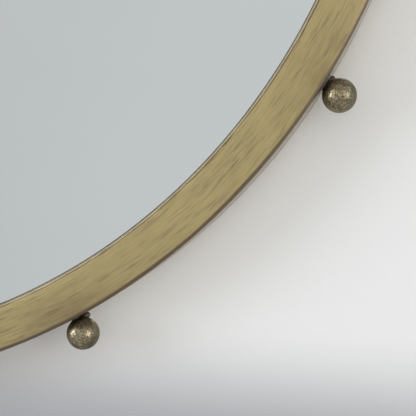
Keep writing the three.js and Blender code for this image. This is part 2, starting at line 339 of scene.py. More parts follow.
def middle_of(node: str) -> Vector:
    """The middle of a CAD node's box."""
    low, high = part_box(node)
    return (low + high) / 2


def numbered(stem: str, count: int, digits: int = 1, first: int = 1) -> list[str]:
    """Numbered names."""
    return [f"{stem}_{i:0{digits}d}" for i in range(first, first + count)]


# ---------- sizes that more than one sub-assembly uses ----------


@dataclass(frozen=True)
class RingSizes:
    """The ring's main sizes, read from the frame."""

    outer: float
    inner: float
    front: float
    back: float

    @classmethod
    def from_frame(cls) -> "RingSizes":
        """Reads the ring from the frame, its inner radius from its mesh."""
        low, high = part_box("frame_ring")
        points = [v.co for v in frame["nodes"]["frame_ring"].data.vertices]
        inner = min(math.hypot(point.x, point.z) for point in points)
        return cls(outer=high.x, inner=inner, front=low.y, back=high.y)


RING = RingSizes.from_frame()
BALLS = 12


# ---------- shader wiring ----------


class Wiring:
    """Adds nodes to one shader tree and joins them."""

    def __init__(self, tree: bpy.types.NodeTree) -> None:
        """Keeps the tree."""
        self.tree = tree

    def feed(self, socket: Socket, value: object) -> None:
        """Links a socket to another one, or sets its value."""
        if isinstance(value, Socket):
            self.tree.links.new(value, socket)
        else:
            socket.default_value = value

    def node(self, kind: str, entries: dict | None = None, **values: object) -> bpy.types.Node:
        """Adds a node.

        Args:
            kind: Its type.
            entries: What its inputs are fed with, by name or number.
            **values: Its other settings.

        Returns:
            The node.
        """
        node = self.tree.nodes.new(kind)
        for key, value in values.items():
            setattr(node, key, value)
        for key, value in (entries or {}).items():
            self.feed(node.inputs[key], value)
        return node

    def math(self, operation: str, *numbers: object) -> Socket:
        """A Math node's result."""
        return self.node("ShaderNodeMath", dict(enumerate(numbers)), operation=operation).outputs[0]

    def times(self, *numbers: object) -> Socket:
        """The product of some numbers."""
        return reduce(lambda a, b: self.math("MULTIPLY", a, b), numbers)

    def plus(self, a: object, b: object) -> Socket:
        """The sum of two numbers."""
        return self.math("ADD", a, b)

    def minus(self, a: object, b: object) -> Socket:
        """The difference of two numbers."""
        return self.math("SUBTRACT", a, b)

    def scaled(self, value: object, share: object, base: object) -> Socket:
        """A share of a number on top of a base."""
        return self.math("MULTIPLY_ADD", value, share, base)

    def ramp(self, value: object, low: object, high: object, start: float = 0.0, end: float = 1.0) -> Socket:
        """A smooth step between two values of a number.

        Args:
            value: The number.
            low: Where the step starts.
            high: Where it ends.
            start: The result before it.
            end: The result after it.

        Returns:
            The result's socket.
        """
        entries = {"Value": value, "From Min": low, "From Max": high, "To Min": start, "To Max": end}
        return self.node("ShaderNodeMapRange", entries, interpolation_type="SMOOTHSTEP").outputs["Result"]

    def blend(self, share: object, low: object, high: object) -> Socket:
        """A colour between two colours."""
        return self.node("ShaderNodeMix", {0: share, 6: low, 7: high}, data_type="RGBA").outputs[2]

    def point(self, x: object, y: object, z: object) -> Socket:
        """A vector from three numbers."""
        return self.node("ShaderNodeCombineXYZ", {0: x, 1: y, 2: z}).outputs[0]

    def axes(self, vector: object) -> Sequence[Socket]:
        """The three numbers of a vector."""
        return self.node("ShaderNodeSeparateXYZ", {0: vector}).outputs

    def noise(
        self, vector: object, scale: object, detail: float = 3.0, roughness: float = 0.5, w: object = None
    ) -> Socket:
        """Noise between 0 and 1, in three dimensions or, with w, in four."""
        entries = {"Vector": vector, "Scale": scale, "Detail": detail, "Roughness": roughness}
        if w is None:
            return self.node("ShaderNodeTexNoise", entries).outputs["Fac"]
        return self.node("ShaderNodeTexNoise", {**entries, "W": w}, noise_dimensions="4D").outputs["Fac"]

    def object_place(self) -> Socket:
        """Object coordinates."""
        return self.node("ShaderNodeTexCoord").outputs["Object"]

    def bump(self, height: object, depth: float, strength: float = 1.0) -> Socket:
        """A normal bent by a height.

        Args:
            height: A number over the surface, mostly between 0 and 1.
            depth: How far apart 0 and 1 lie, in metres.
            strength: The share of it that is used.

        Returns:
            The normal's socket.
        """
        entries = {"Distance": depth, "Strength": strength, "Height": height}
        return self.node("ShaderNodeBump", entries).outputs["Normal"]

    def place(self, effect: "Effect", **inputs: float) -> dict[str, Socket]:
        """Puts a shared effect with its inputs into this tree and returns its outputs by name."""
        entries = {name.capitalize(): value for name, value in inputs.items()}
        node = self.node("ShaderNodeGroup", entries, node_tree=effect.tree())
        return {socket.name: socket for socket in node.outputs}


class Effect(Enum):
    """Surface effects that several finishes share, each a node group that is built once."""

    ROUND_THE_RING = "Round the ring"
    BRUSH_LINES = "Brush lines"
    SPECKLE = "Speckle"
    EDGE_WEAR = "Edge wear"
    HANDLING = "Handling marks"

    def tree(self) -> bpy.types.NodeTree:
        """The group's tree, built on first use."""
        found = bpy.data.node_groups.get(self.value)
        if found:
            return found
        builder, inputs = EFFECTS[self]
        tree = bpy.data.node_groups.new(self.value, "ShaderNodeTree")
        add_socket = tree.interface.new_socket
        for name, value in inputs.items():
            add_socket(name=name, in_out="INPUT", socket_type="NodeSocketFloat").default_value = value
        wires = Wiring(tree)
        start = wires.node("NodeGroupInput")
        made = builder(wires, {socket.name: socket for socket in start.outputs})
        for name in made:
            add_socket(name=name, in_out="OUTPUT", socket_type="NodeSocketFloat")
        wires.node("NodeGroupOutput", made)
        return tree


def round_the_ring(wires: Wiring, _: dict[str, Socket]) -> dict[str, Socket]:
    """Radius, direction and ball rhythm about the ring's axis, in metres."""
    x, y, z = wires.axes(wires.object_place())
    radius = wires.math("SQRT", wires.plus(wires.times(x, x), wires.times(z, z)))
    angle = wires.math("ARCTAN2", z, x)
    return {
        "Radius": radius,
        "Depth": y,
        "East": wires.math("DIVIDE", x, radius),
        "North": wires.math("DIVIDE", z, radius),
        "At a ball": wires.math("COSINE", wires.times(angle, float(BALLS))),
    }


def brush_lines(wires: Wiring, given: dict[str, Socket]) -> dict[str, Socket]:
    """Lines rubbed along the ring: Reach is lines to a radian and Fineness lines to a metre."""
    ring = wires.place(Effect.ROUND_THE_RING)
    across = wires.times(ring["Radius"], given["Fineness"])
    inwards = wires.times(ring["Depth"], given["Fineness"])
    east, north = (wires.times(ring[side], given["Reach"]) for side in ("East", "North"))
    return {"Lines": wires.noise(wires.point(east, across, north), 1.0, w=inwards)}


def speckle(wires: Wiring, given: dict[str, Socket]) -> dict[str, Socket]:
    """Spots of one size that cover a share of the surface."""
    grains = wires.noise(wires.object_place(), given["Scale"], detail=4.0, roughness=0.6)
    edge = wires.minus(1.0, given["Cover"])
    soft = given["Softness"]
    return {"Spots": wires.ramp(grains, wires.minus(edge, soft), wires.plus(edge, soft))}


def edge_wear(wires: Wiring, given: dict[str, Socket]) -> dict[str, Socket]:
    """Where raised edges are rubbed bright, broken up by noise."""
    raised = wires.minus(wires.node("ShaderNodeNewGeometry").outputs["Pointiness"], 0.5)
    worn = wires.math("DIVIDE", raised, given["Reach"])
    broken = wires.plus(wires.noise(wires.object_place(), given["Scale"]), 0.5)
    return {"Rubbed": wires.ramp(wires.times(worn, broken), 0.1, 0.8)}


def handling_marks(wires: Wiring, given: dict[str, Socket]) -> dict[str, Socket]:
    """Soft blotches of dust and fingering, with fine grain on them."""
    place = wires.object_place()
    blotches = wires.ramp(wires.noise(place, given["Scale"], detail=5.0), 0.32, 0.68)
    return {"Blotches": blotches, "Grain": wires.noise(place, given["Grain"], detail=2.0)}


EFFECTS = {
    Effect.ROUND_THE_RING: (round_the_ring, {}),
    Effect.BRUSH_LINES: (brush_lines, {"Reach": 7.0, "Fineness": 2500.0}),
    Effect.SPECKLE: (speckle, {"Scale": 400.0, "Cover": 0.5, "Softness": 0.1}),
    Effect.EDGE_WEAR: (edge_wear, {"Reach": 0.04, "Scale": 300.0}),
    Effect.HANDLING: (handling_marks, {"Scale": 30.0, "Grain": 900.0}),
}


# ---------- finishes ----------


def tone(red: int, green: int, blue: int) -> Colour:
    """A colour on the screen's 0 to 255 scale as a shader's linear colour."""
    return (*(((c / 255 + 0.055) / 1.055) ** 2.4 for c in (red, green, blue)), 1.0)


class Finish:
    """A procedural material that is built once."""

    name: str

    def material(self) -> bpy.types.Material:
        """The finished material."""
        found = bpy.data.materials.get(self.name)
        if found:
            return found
        made = bpy.data.materials.new(self.name)
        made.use_nodes = True
        wires = Wiring(made.node_tree)
        shader = made.node_tree.nodes["Principled BSDF"]
        for socket, value in self.surface(wires).items():
            wires.feed(shader.inputs[socket], value)
        return made

    def surface(self, wires: Wiring) -> dict[str, object]:
        """What the shader's inputs are fed with, by name."""
        raise NotImplementedError


@dataclass(frozen=True)
class BrushedBrass(Finish):
    """Antique brass, rubbed along the ring, with dark patina and painted reflection on its outer rounding and
    painted highlight and shade on its edges.
    """

    name: str = "brushed antique brass"
    light: Colour = tone(205, 187, 136)
    middle: Colour = tone(192, 175, 127)
    shade: Colour = tone(162, 145, 110)
    stroke: Colour = tone(118, 104, 80)
    smudge: Colour = tone(132, 116, 88)
    # patina on the outer rounding; where it widens round the lower half it is a painted reflection of a dark
    # room below
    edge: Colour = tone(131, 117, 99)
    # painted reflection: the side wall's pale grey stands in for its grazing reflection of the white wall
    side: Colour = tone(196, 188, 176)
    grazing: Colour = (0.88, 0.85, 0.81, 1.0)
    lip_tone: Colour = tone(160, 146, 120)
    # dark brass for the inner groove line and, at the side wall's back, patina with painted contact shadow
    rim_dark: Colour = tone(112, 99, 74)
    # painted highlight: a light line on the inner rounding standing in for its glint
    painted_rim_highlight: Colour = tone(190, 176, 148)
    shade_band: Pair = (0.34, 0.5)
    light_band: Pair = (0.5, 0.66)
    fine_lines: Pair = (34.0, 1500.0)
    broad_lines: Pair = (12.0, 300.0)
    stroke_lines: Pair = (26.0, 1050.0)
    sweep_lines: Pair = (15.0, 190.0)
    smudge_share: float = 0.8
    grain_share: float = 0.3
    plain_roughness: float = 0.27
    line_roughness: float = 0.24
    wall_roughness: float = 0.16
    patina_roughness: float = 0.14
    lip: float = 0.5 * MM
    lip_end: float = 1.5 * MM
    groove_end: float = 2.2 * MM
    lip_jitter: float = 1.2 * MM
    edge_thin: float = 2.2 * MM
    edge_thick: float = 2.3 * MM
    edge_jitter: float = 2.0 * MM
    # downward span over which the dark rounding widens: a painted reflection of a dark room below
    painted_reflection_span: Pair = (0.52, 0.62)
    side_start: float = 3.1 * MM
    # where the patina and painted contact shadow at the side wall's back start and where they are full
    back_dark: float = 11.0 * MM
    back_full: float = 4.0 * MM
    line_depth: float = 0.015 * MM

    def surface(self, wires: Wiring) -> dict[str, object]:
        """Brush strokes, patina, and edge tones that hold painted highlight, reflection and shade."""
        ring = wires.place(Effect.ROUND_THE_RING)
        marks = wires.place(Effect.HANDLING, scale=26.0, grain=1400.0)
        fine = self.lines(wires, *self.fine_lines)
        broad = self.lines(wires, *self.broad_lines)
        patina = self.patina(wires, ring, marks, broad)
        smudged = wires.times(patina, self.smudge_share)
        colour = wires.blend(smudged, self.rubbed(wires, fine, broad), self.smudge)
        colour = self.inner_rim(wires, ring, fine, colour)
        colour, wall = self.outer_rim(wires, ring, broad, colour)
        plain = wires.scaled(wall, self.wall_roughness, self.plain_roughness)
        rough = wires.scaled(fine, self.line_roughness, plain)
        height = wires.plus(fine, wires.times(marks["Grain"], self.grain_share))
        return {
            "Base Color": colour,
            "Roughness": wires.scaled(patina, self.patina_roughness, rough),
            "Metallic": 1.0,
            "Specular Tint": self.grazing,
            "Normal": wires.bump(height, self.line_depth),
        }

    @staticmethod
    def lines(wires: Wiring, reach: float, fineness: float) -> Socket:
        """One field of brush lines."""
        return wires.place(Effect.BRUSH_LINES, reach=reach, fineness=fineness)["Lines"]

    def rubbed(self, wires: Wiring, fine: Socket, broad: Socket) -> Socket:
        """The face's colour: bands of gold and brown with short dark strokes."""
        streaks = wires.plus(wires.times(fine, 0.5), wires.times(broad, 0.5))
        colour = wires.blend(wires.ramp(streaks, *self.shade_band), self.shade, self.middle)
        colour = wires.blend(wires.ramp(streaks, *self.light_band), colour, self.light)
        strokes = wires.ramp(self.lines(wires, *self.stroke_lines), 0.52, 0.72)
        swept = wires.ramp(self.lines(wires, *self.sweep_lines), 0.42, 0.64, 0.12, 0.7)
        return wires.blend(wires.times(strokes, swept), colour, self.stroke)

    @staticmethod
    def patina(wires: Wiring, ring: dict, marks: dict, broad: Socket) -> Socket:
        """Where the face is left dark: near each ball, in dragged patches."""
        near_ball = wires.ramp(ring["At a ball"], 0.1, 1.0)
        outwards = wires.ramp(ring["Radius"], RING.inner + 4 * MM, RING.outer - 4 * MM, 0.25, 1.0)
        dragged = wires.times(marks["Blotches"], wires.ramp(broad, 0.35, 0.6))
        by_ball = wires.times(near_ball, outwards, wires.scaled(dragged, 0.8, 0.2))
        return wires.math("MAXIMUM", by_ball, wires.times(dragged, 0.22))

    def inner_rim(self, wires: Wiring, ring: dict, fine: Socket, colour: Socket) -> Socket:
        """The inner rounding: a dull lip, a painted highlight line and a dark groove line."""
        jitter = wires.times(wires.minus(fine, 0.5), self.lip_jitter)
        reach = wires.plus(wires.minus(ring["Radius"], RING.inner), jitter)
        for end, softness, shade in (
            (self.groove_end, 1.3, self.rim_dark),
            # painted highlight line on the inner rounding
            (self.lip_end, 1.2, self.painted_rim_highlight),
            (self.lip, 1.5, self.lip_tone),
        ):
            colour = wires.blend(wires.ramp(reach, end, end * softness, 1.0, 0.0), colour, shade)
        return colour

    def outer_rim(
        self, wires: Wiring, ring: dict, broad: Socket, colour: Socket
    ) -> tuple[Socket, Socket]:
        """The outer rounding's patina, widened round the lower half as a painted reflection; the side wall,
        painted pale as a painted reflection of the wall; and patina with painted contact shadow at its back.

        Args:
            wires: The material's wiring.
            ring: The places about the ring's axis.
            broad: Broad brush lines.
            colour: The colour so far.

        Returns:
            The colour with both, and where the side wall is.
        """
        # painted reflection: the dark strip widens round the lower half, where the rounding would mirror a
        # dark room below
        painted_reflection_share = wires.ramp(wires.times(ring["North"], -1.0), *self.painted_reflection_span)
        width = wires.scaled(painted_reflection_share, self.edge_thick - self.edge_thin, self.edge_thin)
        width = wires.scaled(wires.minus(broad, 0.5), self.edge_jitter, width)
        rim = wires.plus(wires.minus(ring["Radius"], RING.outer), width)
        colour = wires.blend(wires.ramp(rim, -0.3 * MM, 0.4 * MM), colour, self.edge)
        on_side = wires.ramp(ring["Depth"], RING.front + self.side_start, RING.front + self.side_start * 1.3)
        outside = wires.ramp(ring["Radius"], RING.outer - 0.8 * MM, RING.outer - 0.4 * MM)
        wall = wires.times(on_side, outside)
        # painted reflection: the side wall is tinted pale grey like the wall it mirrors
        colour = wires.blend(wall, colour, self.side)
        # patina and painted contact shadow: the side wall darkens towards the wall it stands on
        back_patina_and_shade = wires.ramp(ring["Depth"], RING.back - self.back_dark, RING.back - self.back_full, 0.0, 0.8)
        return wires.blend(back_patina_and_shade, colour, self.rim_dark), wall


@dataclass(frozen=True)
class DarkBrass(Finish):
    """Cast brass gone nearly black, rubbed through to gold in fine specks."""

    name: str = "speckled dark brass"
    deep: Colour = tone(98, 92, 80)
    brown: Colour = tone(140, 129, 106)
    gold: Colour = tone(200, 185, 142)
    pit: Colour = tone(62, 57, 49)
    # patina and painted shade on the side of each ball that faces the ring
    seat_patina_and_shade: Colour = tone(66, 62, 55)
    grazing: Colour = (0.58, 0.56, 0.53, 1.0)
    pit_depth: float = 0.06 * MM
    seat_shade_full: float = 0.5 * MM
    seat_shade_end: float = 7.0 * MM
    rubbed_from: float = 3.0 * MM
    rubbed_full: float = 9.0 * MM

    def surface(self, wires: Wiring) -> dict[str, object]:
        """Patina, gold specks, pits, and the seat darkened as patina and painted shade."""
        marks = wires.place(Effect.HANDLING, scale=110.0, grain=1700.0)
        specks = wires.place(Effect.SPECKLE, scale=900.0, cover=0.46, softness=0.08)["Spots"]
        pits = wires.place(Effect.SPECKLE, scale=850.0, cover=0.4, softness=0.07)["Spots"]
        ring = wires.place(Effect.ROUND_THE_RING)
        middle = BallStuds.centre_y()
        # darker towards the ring: patina in the seat and painted shade where the ring shades the ball
        seat = wires.ramp(ring["Radius"], RING.outer + self.seat_shade_full, RING.outer + self.seat_shade_end, 0.85, 0.0)
        rubbed = wires.ramp(ring["Depth"], middle - self.rubbed_full, middle - self.rubbed_from, 0.95, 0.22)
        gilt = wires.times(specks, rubbed, wires.scaled(marks["Blotches"], 0.45, 0.55))
        colour = wires.blend(marks["Blotches"], self.deep, self.brown)
        for share, shade in ((gilt, self.gold), (wires.times(pits, rubbed), self.pit), (seat, self.seat_patina_and_shade)):
            colour = wires.blend(share, colour, shade)
        height = wires.minus(wires.times(specks, 0.4), pits)
        return {
            "Base Color": colour,
            "Roughness": wires.scaled(pits, 0.12, wires.scaled(marks["Grain"], 0.2, 0.25)),
            "Metallic": 1.0,
            "Specular Tint": self.grazing,
            "Coat Weight": 0.25,
            "Coat Roughness": 0.3,
            "Normal": wires.bump(height, self.pit_depth, 0.6),
        }


@dataclass(frozen=True)
class SilveredGlass(Finish):
    """Silvered plate glass with a green seamed edge and a painted back."""

    name: str = "silvered glass"
    silver: Colour = tone(217, 222, 225)
    haze: Colour = tone(213, 218, 221)
    seam: Colour = tone(176, 190, 182)
    paint: Colour = tone(112, 116, 118)
    edge_roughness: float = 0.35
    film: Pair = (0.1 * MM, 0.2 * MM)

    def surface(self, wires: Wiring) -> dict[str, object]:
        """Silver, seam and back paint."""
        low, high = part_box("mirror_glass")
        thin, thick = self.film
        ring = wires.place(Effect.ROUND_THE_RING)
        marks = wires.place(Effect.HANDLING, scale=3.0, grain=60.0)
        on_face = wires.ramp(ring["Depth"], low.y + thin, low.y + thick, 1.0, 0.0)
        on_back = wires.ramp(ring["Depth"], high.y - thick, high.y - thin)
        silver = wires.blend(marks["Blotches"], self.haze, self.silver)
        edge = wires.blend(on_back, self.seam, self.paint)
        dust = wires.scaled(marks["Grain"], 0.012, 0.008)
        rough = wires.node("ShaderNodeMix", {0: on_face, 2: self.edge_roughness, 3: dust}, data_type="FLOAT")
        return {
            "Base Color": wires.blend(on_face, edge, silver),
            "Roughness": rough.outputs[0],
            "Metallic": on_face,
        }


@dataclass(frozen=True)
class Fibreboard(Finish):
    """Raw fibreboard: short pale and dark fibres, with a coarser cut edge."""

    name: str = "raw fibreboard"
    ground: Colour = tone(164, 132, 96)
    fibre: Colour = tone(190, 160, 122)
    fleck: Colour = tone(120, 92, 62)
    cut: Colour = tone(136, 106, 74)
    wave: float = 4 * MM
    fineness: tuple[float, float, float] = (420.0, 700.0, 1400.0)
    relief: float = 0.12 * MM

    def surface(self, wires: Wiring) -> dict[str, object]:
        """Fibres, flecks and the cut edge."""
        place = wires.object_place()
        sway = wires.times(wires.noise(place, 45.0, detail=2.0), self.wave)
        x, y, z = wires.axes(place)
        stretched = zip((wires.plus(x, sway), y, wires.plus(z, sway)), self.fineness)
        slanted = wires.point(*(wires.times(side, count) for side, count in stretched))
        fibres = wires.noise(slanted, 1.0, detail=6.0, roughness=0.65)
        marks = wires.place(Effect.HANDLING, scale=9.0, grain=1300.0)
        flecks = wires.place(Effect.SPECKLE, scale=520.0, cover=0.3, softness=0.03)["Spots"]
        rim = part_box("backing_board")[1].x
        edge = wires.ramp(wires.place(Effect.ROUND_THE_RING)["Radius"], rim - 0.9 * MM, rim - 0.3 * MM)
        colour = wires.blend(wires.ramp(fibres, 0.35, 0.65), self.ground, self.fibre)
        for mask, share, shade in (
            (marks["Blotches"], 0.25, self.cut),
            (flecks, 0.6, self.fleck),
            (edge, 0.8, self.cut),
        ):
            colour = wires.blend(wires.times(mask, share), colour, shade)
        height = wires.plus(fibres, wires.times(marks["Grain"], 0.5))
        return {
            "Base Color": colour,
            "Roughness": wires.scaled(fibres, 0.2, 0.7),
            "Normal": wires.bump(height, self.relief),
        }


@dataclass(frozen=True)
class Blotched(Finish):
    """Two tones in soft blotches, with fine grain in gloss and relief."""

    name: str
    low: Colour
    high: Colour
    blotches: float
    grain: float
    gloss: Pair
    relief: float
    metallic: float = 0.0

    def colour(self, wires: Wiring, marks: dict[str, Socket]) -> Socket:
        """The colour over the blotches."""
        return wires.blend(marks["Blotches"], self.low, self.high)

    def surface(self, wires: Wiring) -> dict[str, object]:
        """Blotches, gloss and grain."""
        marks = wires.place(Effect.HANDLING, scale=self.blotches, grain=self.grain)
        return {
            "Base Color": self.colour(wires, marks),
            "Roughness": wires.scaled(marks["Grain"], *self.gloss),
            "Metallic": self.metallic,
            "Normal": wires.bump(marks["Grain"], self.relief),
        }


@dataclass(frozen=True)
class TabBrass(Blotched):
    """Plain brass strip, unbrushed, rubbed bright on its edges."""

    name: str = "plain brass strip"
    low: Colour = tone(124, 108, 77)
    high: Colour = tone(152, 134, 95)
    bright: Colour = tone(190, 172, 124)
    blotches: float = 120.0
    grain: float = 1500.0
    gloss: Pair = (0.25, 0.3)
    relief: float = 0.02 * MM
    metallic: float = 1.0

    def colour(self, wires: Wiring, marks: dict[str, Socket]) -> Socket:
        """Heat marks and worn edges."""
        worn = wires.place(Effect.EDGE_WEAR)["Rubbed"]
        return wires.blend(worn, super().colour(wires, marks), self.bright)


@dataclass(frozen=True)
class ZincSteel(Blotched):
    """Bright zinc plate, a little blue and yellow, dulled in the hollows."""

    name: str = "bright zinc plate"
    low: Colour = tone(196, 203, 210)
    high: Colour = tone(206, 203, 186)
    dull: Colour = tone(148, 150, 152)
    blotches: float = 160.0
    grain: float = 2200.0
    gloss: Pair = (0.25, 0.2)
    relief: float = 0.01 * MM
    metallic: float = 1.0

    def colour(self, wires: Wiring, marks: dict[str, Socket]) -> Socket:
        """The plate's tints, dull spots and worn edges."""
        spots = wires.place(Effect.SPECKLE, scale=900.0, cover=0.35, softness=0.08)["Spots"]
        worn = wires.place(Effect.EDGE_WEAR, reach=0.06, scale=500.0)["Rubbed"]
        colour = wires.blend(wires.times(spots, 0.5), super().colour(wires, marks), self.dull)
        return wires.blend(worn, colour, self.low)


@dataclass(frozen=True)
class Mastic(Blotched):
    """Set mirror mastic, matt with fine skin wrinkles."""

    name: str = "set mastic"
    low: Colour = tone(168, 160, 144)
    high: Colour = tone(196, 190, 176)
    blotches: float = 60.0
    grain: float = 700.0
    gloss: Pair = (0.2, 0.65)
    relief: float = 0.15 * MM


@dataclass(frozen=True)
class SoftRubber(Blotched):
    """Dark grey rubber with a dusty bloom."""

    name: str = "soft rubber"
    low: Colour = tone(52, 52, 51)
    high: Colour = tone(84, 84, 82)
    blotches: float = 220.0
    grain: float = 1800.0
    gloss: Pair = (0.15, 0.72)
    relief: float = 0.05 * MM


@dataclass(frozen=True)
class Plaster(Finish):
    """A matt pale surface with fine grain."""

    name: str = "pale floor"
    colour: Colour = tone(214, 213, 210)
    grain: float = 340.0
    relief: float = 0.25 * MM

    def surface(self, wires: Wiring) -> dict[str, object]:
        """Even colour and grain."""
        grain = wires.noise(wires.object_place(), self.grain, detail=4.0)
        return {
            "Base Color": self.colour,
            "Roughness": 0.85,
            "Specular IOR Level": 0.2,
            "Normal": wires.bump(grain, self.relief, 0.6),
        }


@dataclass(frozen=True)
class WallPlaster(Plaster):
    """Plaster that falls off into shade below the mirror and is seen only from the room."""

    name: str = "wall plaster"
    colour: Colour = tone(249, 249, 248)
    low_tone: Colour = tone(180, 180, 184)
    shade_bottom: float = -0.465
    shade_top: float = -0.375
    hidden_radius: float = 0.437

    def surface(self, wires: Wiring) -> dict[str, object]:
        """Plaster with its shade, open to the back."""
        self.open_to_the_back(wires)
        height = wires.axes(wires.object_place())[2]
        lit = wires.ramp(height, self.shade_bottom, self.shade_top)
        return {**super().surface(wires), "Base Color": wires.blend(lit, self.low_tone, self.colour)}

    def open_to_the_back(self, wires: Wiring) -> None:
        """Lets a view from behind pass the wall, and light reach the back through the hidden part."""
        ring = wires.place(Effect.ROUND_THE_RING)
        hidden = wires.math("LESS_THAN", ring["Radius"], self.hidden_radius)
        seen = wires.node("ShaderNodeLightPath").outputs["Is Camera Ray"]
        opening = wires.times(hidden, wires.minus(1.0, seen))
        behind = wires.node("ShaderNodeNewGeometry").outputs["Backfacing"]
        plain = wires.tree.nodes["Principled BSDF"].outputs[0]
        clear = wires.node("ShaderNodeBsdfTransparent").outputs[0]
        share = wires.math("MAXIMUM", behind, opening)
        mix = wires.node("ShaderNodeMixShader", {0: share, 1: plain, 2: clear})
        wires.feed(wires.tree.nodes["Material Output"].inputs["Surface"], mix.outputs[0])


# ---------- pieces ----------


@dataclass
class Piece:
    """One finished piece: its mesh, its finish and the CAD node that it stands for."""

    shape: Solid
    finish: Finish
    slot: Slot
    node: str
    body: Body = Body.MIRROR
    flat_faced: bool = False

    def hand_over(self) -> None:
        """Shades the piece, gives it its material and tells the frame about it."""
        activate(self.shape)
        bpy.ops.object.shade_smooth_by_angle(angle=SMOOTH_ANGLE)
        if self.flat_faced:
            with_modifier(self.shape, "WEIGHTED_NORMAL", keep_sharp=True)
        self.shape.data.materials.clear()
        self.shape.data.materials.append(self.finish.material())
        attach(self.shape, self.body.value)
        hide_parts(self.node)
        log.info("%-22s %6d faces, for %s", self.shape.name, len(self.shape.data.polygons), self.node)


class SubAssembly:
    """Pieces that belong together."""

    def build(self) -> list[Piece]:
        """Models the pieces."""
        raise NotImplementedError

    def dress(self) -> None:
        """Models the pieces and hands each one over."""
        for piece in self.build():
            piece.hand_over()


@dataclass
class RingFrame(SubAssembly):
    """The hollow tube, rolled into a ring, drilled for the balls and dressed by hand."""

    corner_radius: float = 3 * MM
    corner_segments: int = 6
    face_cuts: int = 4
    wall: float = 1.5 * MM
    steps: int = 480
    hole_radius: float = 3.3 * MM
    sink: float = 0.22 * MM
    sink_spacing: float = 0.05

    def build(self) -> list[Piece]:
        """Spins the section round the ring's axis, gives it a wall and drills it."""
        width = RING.outer - RING.inner
        depth = RING.back - RING.front
        centre = ((RING.outer + RING.inner) / 2, (RING.back + RING.front) / 2, 0)
        flat = self.corner_radius * 1.01
        tube = begin("ring_tube", PLANE, (width, depth, 1), size=1, location=centre)
        with Editing(tube) as edit:
            edit.all()
            edit.round_off(self.corner_radius, self.corner_segments)
            edit.pick(
                Element.EDGE,
                lambda p: abs(p.x - centre[0]) < width / 2 - flat or abs(p.y - centre[1]) < depth / 2 - flat,
            )
            bpy.ops.mesh.subdivide(number_cuts=self.face_cuts)
            edit.all()
            bpy.ops.mesh.delete(type="ONLY_FACE")
            edit.all()
            edit.spin(self.steps, FULL_TURN, (0, 0, 0), (0, 1, 0))
            edit.close_up()
        uneven(tube, self.sink, self.sink_spacing)
        thicken(tube, self.wall)
        combine(tube, self.drills(), "DIFFERENCE")
        return [Piece(tube, BrushedBrass(), Slot.BRUSHED_BRASS, "frame_ring")]

    def drills(self) -> Solid:
        """The twelve drills that open the outer wall for the balls' spigots."""
        y = BallStuds.centre_y()
        start, end = (Vector((RING.outer + side * 2 * self.wall, y, 0)) for side in (-1, 1))
        drill = rod("drill", self.hole_radius, start, end)
        return join(copies(drill, numbered("drill", BALLS, 2), spokes(BALLS)), "drills")


@dataclass
class BallStuds(SubAssembly):
    """Cast balls, each with a spigot in the ring and a bead of braze on one side of its seat."""

    seat_gap: float = 0.3 * MM
    sink: float = 0.06 * MM
    sink_spacing: float = 0.006
    spigot_radius: float = 3 * MM
    spigot_reach: float = 4.3 * MM
    bead_size: tuple[float, float, float] = (6.4 * MM, 8.0 * MM, 13.2 * MM)
    bead_lift: float = 1.5 * MM
    bead_shift: float = 2.6 * MM
    bead_setback: float = 5 * MM
    bead_sink: float = 0.5 * MM
    bead_sink_spacing: float = 0.003

    @staticmethod
    def radius() -> float:
        """The balls' radius, from the ball that lies on the +X axis."""
        low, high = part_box("ball_01")
        return (high.z - low.z) / 2

    @staticmethod
    def centre_y() -> float:
        """The balls' distance from the wall, towards the room."""
        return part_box("ball_01")[0].y + BallStuds.radius()

    def build(self) -> list[Piece]:
        """Models one ball and copies it round the ring."""
        balls = copies(self.model(), numbered("ball_stud", BALLS, 2), spokes(BALLS))
        nodes = numbered("ball", BALLS, 2)
        return [Piece(ball, DarkBrass(), Slot.DARK_BRASS, node) for ball, node in zip(balls, nodes)]

    def model(self) -> Solid:
        """One ball on the +X axis: sphere, bead and spigot in one."""
        radius = self.radius()
        seat = RING.outer + self.seat_gap
        centre = Vector((seat + radius, self.centre_y(), 0))
        ball = begin("ball_stud_01", SPHERE, subdivisions=6, radius=radius, location=centre)
        uneven(ball, self.sink, self.sink_spacing)
        place = (seat + self.bead_lift, centre.y + self.bead_setback, self.bead_shift)
        bead = begin("braze_bead", SPHERE, self.bead_size, subdivisions=5, radius=0.5, location=place)
        uneven(bead, self.bead_sink, self.bead_sink_spacing)
        with Editing(bead) as edit:
            edit.all()
            bpy.ops.mesh.bisect(plane_co=(seat, 0, 0), plane_no=(1, 0, 0), use_fill=True, clear_inner=True)
        combine(ball, bead, "UNION")
        end = Vector((seat - self.spigot_reach, centre.y, 0))
        spigot = rod("spigot", self.spigot_radius, end, Vector((seat + radius / 2, centre.y, 0)), 24)
        combine(ball, spigot, "UNION")
        return ball


